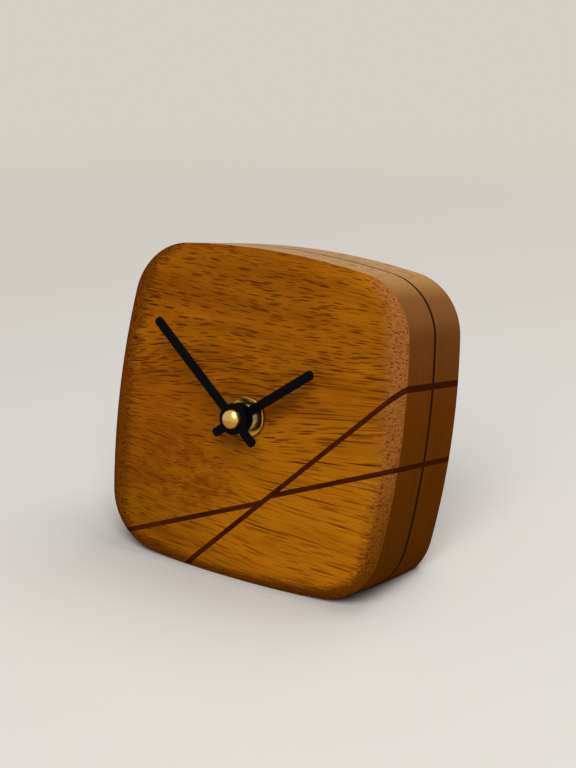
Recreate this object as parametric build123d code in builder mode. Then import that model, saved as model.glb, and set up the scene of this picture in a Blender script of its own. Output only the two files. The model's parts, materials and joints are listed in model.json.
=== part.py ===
from build123d import *
import math
import os

# Wooden body: a rounded square with bowed sides, two boards thick, that leans back on a flat base
body_width = 100.0
body_height = 100.5
side_bow_radius = 244.0
corner_share = 0.194
front_board = 19.0
seam = 1.0
back_board = 19.6
edge_width = 5.2
edge_depth = 3.2
lean_angle = 13.8
base_trim = 0.95
shaft_rise = 0.45

# Inlaid strips: each fills a saw cut right through both boards, thinner than the cut it fills.
# They cross at a share of the body's width and height, and rise by a share of the height over the width
strip = 1.5
saw_kerf = 3.05
cross_shares = (0.0824, -0.2441)
steep_rise_share = 1.0129
shallow_rise_share = 0.407

# Pocket for the movement, routed from the back
front_wall = 8.0
shaft_hole_radius = 5.0
pocket_clearance = 2.0
pocket_corner = 6.4

# Hands and the brass fittings on the shaft
hand_width = 2.75
hand_thickness = 0.8
hand_tail = 10.3
hub_radius = 4.66
collet_radius = 3.3
minute_reach = 39.8
minute_angle = 308.5
hour_reach = 28.8
hour_angle = 52.3
hand_gap = 0.3
minute_collet = 2.0
hour_collet = 0.4
nut_radius = 6.07
nut_thickness = 1.6
nut_chamfer = 0.4
bush_reach = 4.1
bush_radius = 3.97
bush_flange_radius = 5.4
bush_flange = 0.7
rubber_radius = 9.0
rubber_thickness = 0.8
cap_radius = 2.87
cap_height = 1.9
cap_dome = 0.6
cap_bevel = 1.3
cap_wall = 0.6

# Shafts, from the outside in
hour_tube_radius = 2.5
minute_pipe_radius = 1.55
minute_flats = 2.2
minute_thread_radius = 1.2
seconds_arbor_radius = 0.5
pivot_radius = 0.45
setting_arbor_radius = 0.9
hub_boss_radius = 0.85
seat_width = 3.4
pivot_boss_width = 1.8
running_clearance = 0.06
fixed_clearance = 0.02

# Wheels and pinions
motion_module = 0.45
cannon_teeth = 10
motion_teeth = 30
motion_pinion_teeth = 8
hour_teeth = 32
setting_teeth = 12
third_module = 0.48
seconds_pinion_teeth = 6
third_teeth = 45
third_pinion_teeth = 6
centre_teeth = 48
seconds_module = 0.33
intermediate_pinion_teeth = 6
seconds_teeth = 36
rotor_module = 0.37
rotor_pinion_teeth = 6
intermediate_teeth = 30
motion_axis_angle = 30
setting_axis_angle = 10
third_axis_angle = 150
intermediate_axis_angle = 100
rotor_axis_angle = 60
wheel_thickness = 0.7
layer_gap = 0.5
pinion_overhang = 0.15

# Tooth form: heights as shares of the module, half widths as shares of a quarter of the pitch
wheel_rise_share = 0.85
wheel_tip_share = 0.34
wheel_root_share = 1.19
pinion_rise_share = 0.75
pinion_tip_share = 0.43
pinion_root_share = 0.85
tooth_foot_share = 1.2

# Friction clutch between the centre wheel and the minute pipe
clutch_spring = 0.2
clutch_radius = 3.4
clutch_collar = 0.3
clutch_collar_radius = 2.3
clutch_arms = 3
clutch_arm_width = 1.6

# Stepping motor
magnet_radius = 3.0
magnet_length = 2.0
magnet_gap = 0.5
stator_ring = 1.6
stator_thickness = 0.8
stator_arm_width = 3.4
coil_rise = 22.0
coil_shift = 2.0
coil_length = 20.0
coil_radius = 2.7
bobbin_radius = 2.0
bobbin_flange_radius = 3.0
bobbin_flange = 0.8
core_width = 3.0
core_thickness = 0.8
core_overhang = 4.4

# Circuit board and its parts
board_thickness = 1.0
board_edge = 13.0
chip_radius = 2.6
chip_height = 1.1
crystal_radius = 1.05
crystal_length = 6.2
board_spread_share = 0.2

# Battery and its contacts
cell_radius = 7.25
cell_length = 49.5
nub_radius = 2.75
nub_length = 1.0
cell_clearance = 0.25
contact_room = 1.55
contact_thickness = 0.4
contact_width = 9.0
contact_height = 9.0
lead_width = 3.0

# Movement case
case_wall = 1.2
case_corner = 4.0
case_split = 3.0
front_plate = 1.4
tray_floor = 0.8
tray_wall = 1.0
gear_clearance = 0.5
bridge_thickness = 1.0
post_width = 3.2
stator_pin_width = 1.6
pivot_seat = 0.8
hook_width = 6.0
hook_thickness = 0.8
hook_length = 4.0
hook_barb = 0.6
hook_rise = 8.0
knob_radius = 6.5
knob_height = 3.5
knob_gap = 0.4
knob_ribs = 20
knob_rib_height = 0.6
knob_rib_share = 0.3
knob_groove_share = 0.4

# The face leans back, and depths are measured square to it, from its flat front
lean = math.radians(lean_angle)
body_depth = front_board + seam + back_board
reach = body_width + body_height
shaft_height = (body_height / 2 + shaft_rise) * math.cos(lean) + edge_depth * math.sin(lean) - base_trim


def base_place(depth):
    """How far back the base plane meets a given depth, counted from the shaft at the face."""
    rise = (depth * math.sin(lean) - shaft_height) / math.cos(lean)
    return rise * math.sin(lean) + depth * math.cos(lean)


face_place = -(base_place(edge_depth) + base_place(body_depth)) / 2
face = Plane(
    origin=(0, face_place, shaft_height),
    x_dir=(1, 0, 0),
    z_dir=(0, -math.cos(lean), math.sin(lean)),
)
face_normal = Axis(face.origin, face.z_dir)


def behind(depth):
    """The plane parallel to the face and that far behind it."""
    return face.offset(-depth)


def polar(length, angle):
    """A step on the face, that long, at an angle counted from the right."""
    turn = math.radians(angle)
    return length * math.cos(turn), length * math.sin(turn)


def step(start, length, angle):
    """The place that such a step from a start leads to."""
    across, up = polar(length, angle)
    return start[0] + across, start[1] + up


def save(piece, name):
    """Labels a finished piece and writes it under its name."""
    piece.part.label = name
    export_step(piece.part, f"parts/{name}.step")


os.makedirs("parts", exist_ok=True)

# Places of the arbors, from the wheels that mesh on them
shaft = (0, 0)
centre_module = third_module * (seconds_pinion_teeth + third_teeth) / (third_pinion_teeth + centre_teeth)
motion_axis = step(shaft, motion_module * (cannon_teeth + motion_teeth) / 2, motion_axis_angle)
setting_axis = step(motion_axis, motion_module * (motion_teeth + setting_teeth) / 2, setting_axis_angle)
third_axis = step(shaft, third_module * (seconds_pinion_teeth + third_teeth) / 2, third_axis_angle)
intermediate_axis = step(
    shaft, seconds_module * (intermediate_pinion_teeth + seconds_teeth) / 2, intermediate_axis_angle
)
rotor_axis = step(
    intermediate_axis, rotor_module * (rotor_pinion_teeth + intermediate_teeth) / 2, rotor_axis_angle
)

# Depths inside the movement, from the outside of its front plate to its back
case_front = front_wall + rubber_thickness
hour_level = front_plate + layer_gap
motion_level = hour_level + wheel_thickness + layer_gap
centre_level = motion_level + wheel_thickness + layer_gap
clutch_level = centre_level + wheel_thickness
collar_level = clutch_level + clutch_spring
pipe_end = collar_level + clutch_collar
third_level = pipe_end + layer_gap
bridge_level = third_level + wheel_thickness + layer_gap
bridge_back = bridge_level + bridge_thickness
seconds_level = bridge_back + layer_gap
intermediate_level = seconds_level + wheel_thickness + layer_gap
magnet_level = intermediate_level + wheel_thickness + layer_gap
magnet_back = magnet_level + magnet_length
stator_level = magnet_level + (magnet_length - stator_thickness) / 2
core_level = stator_level - core_thickness
coil_depth = core_level + core_thickness / 2
board_level = bridge_back
cell_depth = tray_floor + cell_clearance + cell_radius
case_back = max(
    magnet_back + layer_gap + pivot_seat,
    coil_depth + bobbin_flange_radius + cell_clearance,
    cell_depth + cell_radius - case_wall,
)
case_depth = case_back + case_wall

# The case's edges, from the battery below, the coil above and the battery's length
centre_tip = centre_module * (centre_teeth / 2 + wheel_rise_share)
tray_top = -centre_tip - gear_clearance - tray_wall
cell_rise = tray_top - cell_clearance - cell_radius
case_foot = cell_rise - cell_radius - cell_clearance - case_wall
case_head = coil_rise + bobbin_flange_radius + gear_clearance + case_wall
case_middle = (case_head + case_foot) / 2
case_height = case_head - case_foot
inner_half = (cell_length + nub_length) / 2 + contact_room
case_width = 2 * (inner_half + case_wall)
post_across = inner_half - hook_thickness - gear_clearance - post_width / 2
lead_line = tray_top + tray_wall + contact_thickness
post_low = lead_line + contact_thickness + gear_clearance + post_width / 2
post_high = coil_rise - bobbin_flange_radius - gear_clearance - post_width / 2
post_places = [(x, y) for x in (-post_across, post_across) for y in (post_low, post_high)]
hook_places = [(side * (inner_half - hook_thickness / 2), hook_rise) for side in (-1, 1)]
hook_end = case_split + hook_length

# Depths of the pieces on the shaft, in front of the face
hour_back = bush_reach + hand_gap
hour_blade = hour_back + hour_collet
hour_front = hour_blade + hand_thickness
minute_back = hour_front + hand_gap
minute_blade = minute_back + minute_collet
minute_front = minute_blade + hand_thickness
pipe_front = minute_front + cap_height - cap_wall


def within(depth):
    """The plane that far into the movement, from the outside of its front plate."""
    return behind(case_front + depth)


# Saw lines: a place on the strip's middle line and the line's angle
closing = strip - saw_kerf
cross = (cross_shares[0] * body_width, cross_shares[1] * body_height)
steep_angle = math.degrees(math.atan2(steep_rise_share * body_height, body_width))
shallow_angle = math.degrees(math.atan2(shallow_rise_share * body_height, body_width))
steep_line = (cross, steep_angle)
shallow_left_line = (cross, shallow_angle)
shallow_right_line = (step(cross, closing, steep_angle - 90), shallow_angle)


def strip_side(line, side, mode=Mode.ADD):
    """Draws all that lies on one side of a strip, above it for side 1 and below it for side -1."""
    place, angle = line
    edge = step(place, side * strip / 2, angle + 90)
    turn = angle if side > 0 else angle + 180
    with Locations(edge):
        Rectangle(reach, reach, rotation=turn, align=(Align.CENTER, Align.MIN), mode=mode)


def strip_band(line, mode=Mode.ADD):
    """Draws the band that a strip fills."""
    place, angle = line
    with Locations(place):
        Rectangle(reach, strip, rotation=angle, mode=mode)


# Front view of the body: four bowed sides with round corners, around a middle a little below the shaft
half_width = body_width / 2
half_height = body_height / 2
corner_radius = corner_share * min(body_width, body_height)
bow_across = side_bow_radius - half_width
bow_up = side_bow_radius - half_height
bow_span = math.hypot(bow_across, bow_up)
bow_share = math.sqrt(side_bow_radius ** 2 - (bow_span / 2) ** 2) / bow_span
corner_x = bow_up * bow_share - bow_across / 2
corner_y = bow_across * bow_share - bow_up / 2
low = -shaft_rise - corner_y
high = -shaft_rise + corner_y
with BuildSketch() as outline:
    with BuildLine():
        ThreePointArc((corner_x, low), (half_width, -shaft_rise), (corner_x, high))
        ThreePointArc((corner_x, high), (0, half_height - shaft_rise), (-corner_x, high))
        ThreePointArc((-corner_x, high), (-half_width, -shaft_rise), (-corner_x, low))
        ThreePointArc((-corner_x, low), (0, -half_height - shaft_rise), (corner_x, low))
    make_face()
    fillet(outline.vertices(), corner_radius)

# The whole wooden body before it is sawn: its edges are rounded by an arc that meets the sides at a crease
edge_radius = (edge_width ** 2 + edge_depth ** 2) / (2 * edge_depth)
edge_spare = edge_radius - edge_width
with BuildPart() as body:
    with BuildSketch(behind(body_depth)):
        add(outline.sketch)
        offset(amount=edge_spare)
    extrude(amount=body_depth)
    ends = body.faces().sort_by(face_normal)
    fillet(ends[0].edges() + ends[-1].edges(), edge_radius)
    with BuildSketch(behind(body_depth)):
        add(outline.sketch)
    extrude(amount=body_depth, mode=Mode.INTERSECT)
    with BuildSketch(behind(body_depth)):
        with Locations((0, case_middle)):
            RectangleRounded(
                case_width + 2 * pocket_clearance, case_height + 2 * pocket_clearance, pocket_corner
            )
    extrude(amount=body_depth - front_wall, mode=Mode.SUBTRACT)
    with BuildSketch(behind(front_wall)):
        Circle(shaft_hole_radius)
    extrude(amount=front_wall, mode=Mode.SUBTRACT)
    split(bisect_by=Plane.XY, keep=Keep.TOP)

# Boards and seam veneer, each in the four pieces that the saw lines leave
layers = {
    "front_board": (0, front_board),
    "seam_veneer": (front_board, front_board + seam),
    "back_board": (front_board + seam, body_depth),
}
regions = {
    "upper": ((steep_line, 1), (shallow_left_line, 1)),
    "left": ((steep_line, 1), (shallow_left_line, -1)),
    "right": ((steep_line, -1), (shallow_right_line, 1)),
    "lower": ((steep_line, -1), (shallow_right_line, -1)),
}
for layer, (near, far) in layers.items():
    for region, (steep_side, shallow_side) in regions.items():
        with BuildPart() as wood:
            add(body.part)
            with BuildSketch(behind(far)):
                strip_side(*steep_side)
                strip_side(*shallow_side, mode=Mode.INTERSECT)
            extrude(amount=far - near, mode=Mode.INTERSECT)
        save(wood, f"{layer}_{region}")

# Strips, each through the whole depth: the steep one was let in last, so it parts the shallow one
with BuildPart() as steep_strip:
    add(body.part)
    with BuildSketch(behind(body_depth)):
        strip_band(steep_line)
    extrude(amount=body_depth, mode=Mode.INTERSECT)
save(steep_strip, "inlay_strip_steep")

for name, line, side in (("left", shallow_left_line, 1), ("right", shallow_right_line, -1)):
    with BuildPart() as shallow_strip:
        add(body.part)
        with BuildSketch(behind(body_depth)):
            strip_band(line)
            strip_side(steep_line, side, mode=Mode.INTERSECT)
        extrude(amount=body_depth, mode=Mode.INTERSECT)
    save(shallow_strip, f"inlay_strip_shallow_{name}")


def hand_sketch(length, angle):
    """Draws a hand from the front: a bar with round ends and a round hub."""
    turn = 90 - angle
    middle = polar((length - hand_tail) / 2, turn)
    with Locations(middle):
        SlotOverall(length + hand_tail, hand_width, rotation=turn)
    Circle(hub_radius)


# Hour hand: pressed on the hour wheel's tube
with BuildPart() as hour_hand:
    with BuildSketch(face.offset(hour_blade)):
        hand_sketch(hour_reach, hour_angle)
    extrude(amount=hand_thickness)
    with BuildSketch(face.offset(hour_back)):
        Circle(collet_radius)
    extrude(amount=hour_collet)
    with BuildSketch(face.offset(hour_back)):
        Circle(hour_tube_radius + fixed_clearance)
    extrude(amount=hour_front - hour_back, mode=Mode.SUBTRACT)
save(hour_hand, "hour_hand")


def minute_section(clearance):
    """Draws the minute pipe's flatted end, grown by a clearance."""
    Circle(minute_pipe_radius + clearance)
    Rectangle(reach, minute_flats + 2 * clearance, rotation=90 - minute_angle, mode=Mode.INTERSECT)


# Minute hand: keyed on the pipe's flats and held by the cap nut
with BuildPart() as minute_hand:
    with BuildSketch(face.offset(minute_blade)):
        hand_sketch(minute_reach, minute_angle)
    extrude(amount=hand_thickness)
    with BuildSketch(face.offset(minute_back)):
        Circle(collet_radius)
    extrude(amount=minute_collet)
    with BuildSketch(face.offset(minute_back)):
        minute_section(fixed_clearance)
    extrude(amount=minute_front - minute_back, mode=Mode.SUBTRACT)
save(minute_hand, "minute_hand")

# Cap nut: closed, with a low bevelled end
with BuildPart() as cap_nut:
    with BuildSketch(face.offset(minute_front)):
        Circle(cap_radius)
    extrude(amount=cap_height + cap_dome)
    rim = cap_nut.faces().sort_by(face_normal)[-1].edges()
    chamfer(rim, cap_dome, cap_bevel)
    with BuildSketch(face.offset(minute_front)):
        Circle(minute_thread_radius + fixed_clearance)
    extrude(amount=pipe_front - minute_front + fixed_clearance, mode=Mode.SUBTRACT)
save(cap_nut, "cap_nut")

# Round nut that clamps the movement against the inside of the front wall
with BuildPart() as mounting_nut:
    with BuildSketch(face):
        Circle(nut_radius)
        Circle(bush_radius + fixed_clearance, mode=Mode.SUBTRACT)
    extrude(amount=nut_thickness)
    rim = mounting_nut.faces().sort_by(face_normal)[-1].edges().sort_by(SortBy.LENGTH)[-1]
    chamfer(rim, nut_chamfer)
save(mounting_nut, "mounting_nut")

# Threaded bush: its flange seats in the front plate, from inside
with BuildPart() as threaded_bush:
    with BuildSketch(within(front_plate)):
        Circle(bush_radius)
    extrude(amount=front_plate + case_front + bush_reach)
    with BuildSketch(within(front_plate)):
        Circle(bush_flange_radius)
    extrude(amount=bush_flange)
    with BuildSketch(within(front_plate)):
        Circle(hour_tube_radius + running_clearance)
    extrude(amount=front_plate + case_front + bush_reach, mode=Mode.SUBTRACT)
save(threaded_bush, "threaded_bush")

# Rubber washer between the movement and the pocket's floor
with BuildPart() as rubber_washer:
    with BuildSketch(behind(case_front)):
        Circle(rubber_radius)
        Circle(bush_radius + running_clearance, mode=Mode.SUBTRACT)
    extrude(amount=rubber_thickness)
save(rubber_washer, "rubber_washer")


def rib_sketch(place, count, phase, foot, tip):
    """Draws a disc with straight-sided teeth or ribs: foot and tip are each a radius and a half width."""
    points = []
    for rib in range(count):
        middle = phase + 360 * rib / count
        for (radius, half), side in ((foot, -1), (tip, -1), (tip, 1), (foot, 1)):
            points.append(step(place, radius, middle + side * math.degrees(half / radius)))
    Polygon(*points, align=None)


def gear_sketch(place, teeth, module, phase, rise_share, tip_share, root_share):
    """Draws a gear with one of its teeth at the phase angle."""
    pitch_radius = teeth * module / 2
    quarter_pitch = math.pi * module / 4
    foot = (pitch_radius - tooth_foot_share * module, root_share * quarter_pitch)
    tip = (pitch_radius + rise_share * module, tip_share * quarter_pitch)
    rib_sketch(place, teeth, phase, foot, tip)


def wheel_sketch(place, teeth, module, phase=0):
    """Draws a wheel, the larger gear of a pair."""
    gear_sketch(place, teeth, module, phase, wheel_rise_share, wheel_tip_share, wheel_root_share)


def pinion_sketch(place, teeth, module, phase=0):
    """Draws a pinion, the smaller gear of a pair."""
    gear_sketch(place, teeth, module, phase, pinion_rise_share, pinion_tip_share, pinion_root_share)


def meshed_phase(place, teeth, phase, next_place, next_teeth):
    """The phase that puts the next gear's gaps on this gear's teeth."""
    line = math.degrees(math.atan2(next_place[1] - place[1], next_place[0] - place[0]))
    passed = (line - phase) * teeth / 360
    return line + 180 - (0.5 - passed) * 360 / next_teeth


# Phases that set each pair in mesh
motion_phase = meshed_phase(shaft, cannon_teeth, 0, motion_axis, motion_teeth)
setting_phase = meshed_phase(motion_axis, motion_teeth, motion_phase, setting_axis, setting_teeth)
motion_pinion_phase = meshed_phase(shaft, hour_teeth, 0, motion_axis, motion_pinion_teeth)
third_pinion_phase = meshed_phase(shaft, centre_teeth, 0, third_axis, third_pinion_teeth)
third_phase = meshed_phase(shaft, seconds_pinion_teeth, 0, third_axis, third_teeth)
intermediate_pinion_phase = meshed_phase(
    shaft, seconds_teeth, 0, intermediate_axis, intermediate_pinion_teeth
)
rotor_phase = meshed_phase(intermediate_axis, intermediate_teeth, 0, rotor_axis, rotor_pinion_teeth)


def rod(place, radius, near, far, mode=Mode.ADD):
    """Adds a round rod inside the movement between two depths."""
    with Locations(within(far)):
        with Locations(place):
            Cylinder(radius, far - near, align=(Align.CENTER, Align.CENTER, Align.MIN), mode=mode)


# Hour wheel with the tube that carries the hour hand
with BuildPart() as hour_wheel:
    with BuildSketch(within(hour_level + wheel_thickness)):
        wheel_sketch(shaft, hour_teeth, motion_module)
    extrude(amount=wheel_thickness)
    rod(shaft, hour_tube_radius, -case_front - hour_front, hour_level)
    bore = minute_pipe_radius + running_clearance
    rod(shaft, bore, -case_front - hour_front, hour_level + wheel_thickness, Mode.SUBTRACT)
save(hour_wheel, "hour_wheel")

# Minute pipe: cannon pinion, clutch collar at the back, flats and thread at the front
with BuildPart() as minute_pipe:
    with BuildSketch(within(motion_level + wheel_thickness + pinion_overhang)):
        pinion_sketch(shaft, cannon_teeth, motion_module)
    extrude(amount=wheel_thickness + 2 * pinion_overhang)
    rod(shaft, minute_pipe_radius, -case_front - minute_back, pipe_end)
    rod(shaft, clutch_collar_radius, collar_level, pipe_end)
    with BuildSketch(face.offset(minute_back)):
        minute_section(0)
    extrude(amount=minute_front - minute_back)
    rod(shaft, minute_thread_radius, -case_front - pipe_front, -case_front - minute_front)
    bore = seconds_arbor_radius + running_clearance
    rod(shaft, bore, -case_front - pipe_front, pipe_end, Mode.SUBTRACT)
save(minute_pipe, "minute_pipe")

# Centre wheel, which turns the minute pipe through the clutch
with BuildPart() as centre_wheel:
    with BuildSketch(within(centre_level + wheel_thickness)):
        wheel_sketch(shaft, centre_teeth, centre_module)
        Circle(minute_pipe_radius + running_clearance, mode=Mode.SUBTRACT)
    extrude(amount=wheel_thickness)
save(centre_wheel, "centre_wheel")

# Clutch spring: a ring with arms, pressed between the collar and the centre wheel
with BuildPart() as clutch_ring:
    with BuildSketch(within(collar_level)):
        Circle(clutch_collar_radius)
        with PolarLocations(0, clutch_arms):
            Rectangle(clutch_radius, clutch_arm_width, align=(Align.MIN, Align.CENTER))
        Circle(minute_pipe_radius + running_clearance, mode=Mode.SUBTRACT)
    extrude(amount=clutch_spring)
save(clutch_ring, "clutch_spring")

# Motion wheel: turns on a post of the front plate, between the cannon pinion and the hour wheel
with BuildPart() as motion_wheel:
    with BuildSketch(within(motion_level + wheel_thickness)):
        wheel_sketch(motion_axis, motion_teeth, motion_module, motion_phase)
    extrude(amount=wheel_thickness)
    with BuildSketch(within(motion_level)):
        pinion_sketch(motion_axis, motion_pinion_teeth, motion_module, motion_pinion_phase)
    extrude(amount=motion_level - hour_level + pinion_overhang)
    bore = pivot_radius + running_clearance
    rod(motion_axis, bore, hour_level - pinion_overhang, motion_level + wheel_thickness, Mode.SUBTRACT)
save(motion_wheel, "motion_wheel")

# Setting arbor, from its seat in the front plate to the knob behind the case
setting_seat = motion_level - pinion_overhang - layer_gap
with BuildPart() as setting_arbor:
    with BuildSketch(within(motion_level + wheel_thickness + pinion_overhang)):
        pinion_sketch(setting_axis, setting_teeth, motion_module, setting_phase)
    extrude(amount=wheel_thickness + 2 * pinion_overhang)
    rod(setting_axis, setting_arbor_radius, front_plate, case_depth + knob_gap + knob_height - case_wall)
save(setting_arbor, "setting_arbor")

with BuildPart() as setting_knob:
    with BuildSketch(within(case_depth + knob_gap + knob_height)):
        rib_pitch = 2 * math.pi * knob_radius / knob_ribs
        groove = (knob_radius - knob_rib_height, knob_groove_share * rib_pitch)
        rib_sketch(setting_axis, knob_ribs, 0, groove, (knob_radius, knob_rib_share * rib_pitch))
    extrude(amount=knob_height)
    rod(
        setting_axis,
        setting_arbor_radius + fixed_clearance,
        case_depth + knob_gap,
        case_depth + knob_gap + knob_height - case_wall + fixed_clearance,
        Mode.SUBTRACT,
    )
save(setting_knob, "setting_knob")

# Third wheel, between the front plate and the bridge
with BuildPart() as third_wheel:
    with BuildSketch(within(third_level + wheel_thickness)):
        wheel_sketch(third_axis, third_teeth, third_module, third_phase)
    extrude(amount=wheel_thickness)
    with BuildSketch(within(third_level)):
        pinion_sketch(third_axis, third_pinion_teeth, centre_module, third_pinion_phase)
    extrude(amount=third_level - centre_level + pinion_overhang)
    rod(third_axis, pivot_radius, motion_level, bridge_back)
save(third_wheel, "third_wheel")

# Seconds wheel: its arbor runs through the minute pipe and ends under the cap nut
with BuildPart() as seconds_wheel:
    with BuildSketch(within(seconds_level + wheel_thickness)):
        wheel_sketch(shaft, seconds_teeth, seconds_module)
    extrude(amount=wheel_thickness)
    rod(shaft, hub_boss_radius, third_level, seconds_level)
    with BuildSketch(within(third_level + wheel_thickness + pinion_overhang)):
        pinion_sketch(shaft, seconds_pinion_teeth, third_module)
    extrude(amount=wheel_thickness + 2 * pinion_overhang)
    rod(shaft, seconds_arbor_radius, -case_front - minute_front, third_level)
    rod(shaft, pivot_radius, seconds_level, case_back)
save(seconds_wheel, "seconds_wheel")

# Intermediate wheel, between the bridge and the rear shell
with BuildPart() as intermediate_wheel:
    with BuildSketch(within(intermediate_level + wheel_thickness)):
        wheel_sketch(intermediate_axis, intermediate_teeth, rotor_module)
    extrude(amount=wheel_thickness)
    with BuildSketch(within(intermediate_level)):
        pinion_sketch(
            intermediate_axis, intermediate_pinion_teeth, seconds_module, intermediate_pinion_phase
        )
    extrude(amount=intermediate_level - seconds_level + pinion_overhang)
    rod(intermediate_axis, pivot_radius, bridge_level, case_back)
save(intermediate_wheel, "intermediate_wheel")

# Rotor: a pinion on its arbor, and the magnet that the stator turns
with BuildPart() as rotor_pinion:
    with BuildSketch(within(intermediate_level + wheel_thickness + pinion_overhang)):
        pinion_sketch(rotor_axis, rotor_pinion_teeth, rotor_module, rotor_phase)
    extrude(amount=wheel_thickness + 2 * pinion_overhang)
    rod(rotor_axis, pivot_radius, bridge_level, case_back)
save(rotor_pinion, "rotor_pinion")

with BuildPart() as rotor_magnet:
    rod(rotor_axis, magnet_radius, magnet_level, magnet_back)
    rod(rotor_axis, pivot_radius + fixed_clearance, magnet_level, magnet_back, Mode.SUBTRACT)
save(rotor_magnet, "rotor_magnet")

# Stator: a ring round the magnet with an arm to each end of the coil's core
core_left = (coil_shift - coil_length / 2 - core_overhang / 2, coil_rise)
core_right = (coil_shift + coil_length / 2 + core_overhang / 2, coil_rise)
with BuildPart() as stator:
    with BuildSketch(within(stator_level + stator_thickness)):
        with Locations(rotor_axis):
            Circle(magnet_radius + magnet_gap + stator_ring)
        for core_end in (core_left, core_right):
            with BuildLine():
                Polyline(rotor_axis, (core_end[0], post_high), core_end)
            trace(line_width=stator_arm_width)
        with Locations(rotor_axis):
            Circle(magnet_radius + magnet_gap, mode=Mode.SUBTRACT)
    extrude(amount=stator_thickness)
save(stator, "stator")

# Coil: a flat core, the bobbin round it and the winding on the bobbin
with BuildPart() as coil_core:
    with BuildSketch(within(stator_level)):
        with Locations((coil_shift, coil_rise)):
            Rectangle(coil_length + 2 * core_overhang, core_width)
    extrude(amount=core_thickness)
save(coil_core, "coil_core")

coil_side = Plane(
    origin=within(coil_depth).from_local_coords((coil_shift - coil_length / 2, coil_rise, 0)),
    x_dir=face.y_dir,
    z_dir=face.x_dir,
)
with BuildPart() as coil_bobbin:
    with BuildSketch(coil_side):
        Circle(bobbin_radius)
    extrude(amount=coil_length)
    for start in (0, coil_length - bobbin_flange):
        with BuildSketch(coil_side.offset(start)):
            Rectangle(2 * bobbin_flange_radius, 2 * bobbin_flange_radius)
        extrude(amount=bobbin_flange)
    with BuildSketch(coil_side):
        Rectangle(core_width + 2 * fixed_clearance, core_thickness + 2 * fixed_clearance)
    extrude(amount=coil_length, mode=Mode.SUBTRACT)
save(coil_bobbin, "coil_bobbin")

with BuildPart() as coil_winding:
    with BuildSketch(coil_side.offset(bobbin_flange)):
        Circle(coil_radius)
        Circle(bobbin_radius + fixed_clearance, mode=Mode.SUBTRACT)
    extrude(amount=coil_length - 2 * bobbin_flange)
save(coil_winding, "coil_winding")

# Circuit board, flat on the bridge, with its chip under a blob of resin and the quartz crystal
board_left = -inner_half + contact_thickness + cell_clearance
board_low = post_low + post_width / 2 + gear_clearance
board_high = post_high - post_width / 2 - gear_clearance
board_middle = ((board_left - board_edge) / 2, (board_low + board_high) / 2)
board_width = -board_edge - board_left
board_height = board_high - board_low
chip_place = (board_middle[0], board_middle[1] - board_spread_share * board_height)
crystal_place = (board_middle[0], board_middle[1] + board_spread_share * board_height)
board_back = board_level + board_thickness
with BuildPart() as circuit_board:
    with BuildSketch(within(board_back)):
        with Locations(board_middle):
            Rectangle(board_width, board_height)
    extrude(amount=board_thickness)
save(circuit_board, "circuit_board")

with BuildPart() as circuit_chip:
    rod(chip_place, chip_radius, board_back, board_back + chip_height)
save(circuit_chip, "circuit_chip")

crystal_end = Plane(
    origin=within(board_back + crystal_radius).from_local_coords(
        (crystal_place[0] - crystal_length / 2, crystal_place[1], 0)
    ),
    x_dir=face.y_dir,
    z_dir=face.x_dir,
)
with BuildPart() as quartz_crystal:
    with BuildSketch(crystal_end):
        Circle(crystal_radius)
    extrude(amount=crystal_length)
save(quartz_crystal, "quartz_crystal")

# Battery, lying across the foot of the case with its nub to the right
cell_end = Plane(
    origin=within(cell_depth).from_local_coords((-(cell_length + nub_length) / 2, cell_rise, 0)),
    x_dir=face.y_dir,
    z_dir=face.x_dir,
)
with BuildPart() as battery:
    with BuildSketch(cell_end):
        Circle(cell_radius)
    extrude(amount=cell_length)
    with BuildSketch(cell_end.offset(cell_length)):
        Circle(nub_radius)
    extrude(amount=nub_length)
save(battery, "battery")

# Contacts: a blade along each side wall, with a lead that passes the tray wall to the circuit board
lead_back = board_back + lead_width
blade_line = inner_half - contact_thickness / 2
contact_low = cell_rise - contact_height / 2
with BuildPart() as contact_positive:
    with BuildSketch(within(cell_depth + contact_width / 2)):
        with Locations((inner_half, contact_low)):
            Rectangle(contact_thickness, contact_height, align=(Align.MAX, Align.MIN))
    extrude(amount=contact_width)
    with BuildSketch(within(lead_back)):
        with BuildLine():
            Polyline(
                (blade_line, contact_low),
                (blade_line, lead_line),
                (-board_edge - contact_thickness, lead_line),
                (-board_edge - contact_thickness, board_low + contact_thickness),
            )
        trace(line_width=contact_thickness)
    extrude(amount=lead_width)
    dimple_start = (cell_length + nub_length) / 2 + running_clearance
    with BuildSketch(cell_end.offset(dimple_start + (cell_length + nub_length) / 2)):
        Circle(nub_radius / 2)
    extrude(amount=inner_half - dimple_start)
save(contact_positive, "contact_positive")

leaf_tip = (cell_length + nub_length) / 2 + running_clearance + contact_thickness
with BuildPart() as contact_negative:
    with BuildSketch(within(cell_depth + contact_width / 2)):
        with BuildLine():
            Polyline(
                (-blade_line, contact_low),
                (-leaf_tip, cell_rise),
                (-blade_line + contact_thickness, contact_low + contact_height),
            )
        trace(line_width=contact_thickness)
    extrude(amount=contact_width)
    with BuildSketch(within(lead_back)):
        with BuildLine():
            Line((-blade_line, contact_low), (-blade_line, board_middle[1]))
        trace(line_width=contact_thickness)
    extrude(amount=lead_width)
save(contact_negative, "contact_negative")


def case_sketch(inset):
    """Draws the case's outline from the front, inset by a wall."""
    with Locations((0, case_middle)):
        RectangleRounded(case_width - 2 * inset, case_height - 2 * inset, case_corner - inset)


def tray_wall_sketch():
    """Draws the wall between the battery and the wheels, short of the sides where the leads pass."""
    with Locations((0, tray_top)):
        span = 2 * (inner_half - contact_thickness - cell_clearance)
        Rectangle(span, tray_wall, align=(Align.CENTER, Align.MIN))

def post_sketch():
    """Draws the four posts that hold the bridge between the shells."""
    with Locations(*post_places):
        Rectangle(post_width, post_width)


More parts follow.
